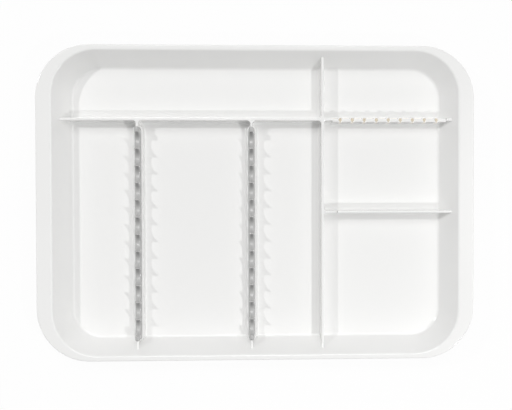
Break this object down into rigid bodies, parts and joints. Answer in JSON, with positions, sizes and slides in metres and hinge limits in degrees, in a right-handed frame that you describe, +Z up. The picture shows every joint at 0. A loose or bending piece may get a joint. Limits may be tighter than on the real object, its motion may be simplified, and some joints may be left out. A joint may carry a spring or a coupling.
{
  "type": "divided drawer tray",
  "caption": "Shallow white rectangular drawer tray with fixed thin dividers, a rail of small tool sockets and scalloped grey rack strips that lift out.",
  "frame": {"origin": "centre of the underside, on the surface that the tray lies on", "axes": "+X along the tray's length towards the socket rail, +Y towards the long top bay, +Z up"},
  "size_m": [0.3398, 0.2444, 0.0222],
  "materials": {
    "white_plastic": "glossy moulded white",
    "grey_strip": "semi-gloss moulded grey"
  },
  "bodies": {
    "tray": {"tray_pan": "white_plastic", "long_divider": "white_plastic", "cross_divider": "white_plastic", "short_divider": "white_plastic", "socket_rail": "white_plastic", "tool_sockets": "white_plastic", "rack_rib_left": "white_plastic", "rack_rib_right": "white_plastic"},
    "left_strip": {"rack_strip_left": "grey_strip"},
    "right_strip": {"rack_strip_right": "grey_strip"}
  },
  "joints": [
    {"name": "left_strip_lift", "type": "slide", "parent": "tray", "child": "left_strip", "axis": [0, 0, 1], "range_m": [0, 0.03]},
    {"name": "right_strip_lift", "type": "slide", "parent": "tray", "child": "right_strip", "axis": [0, 0, 1], "range_m": [0, 0.03]}
  ]
}
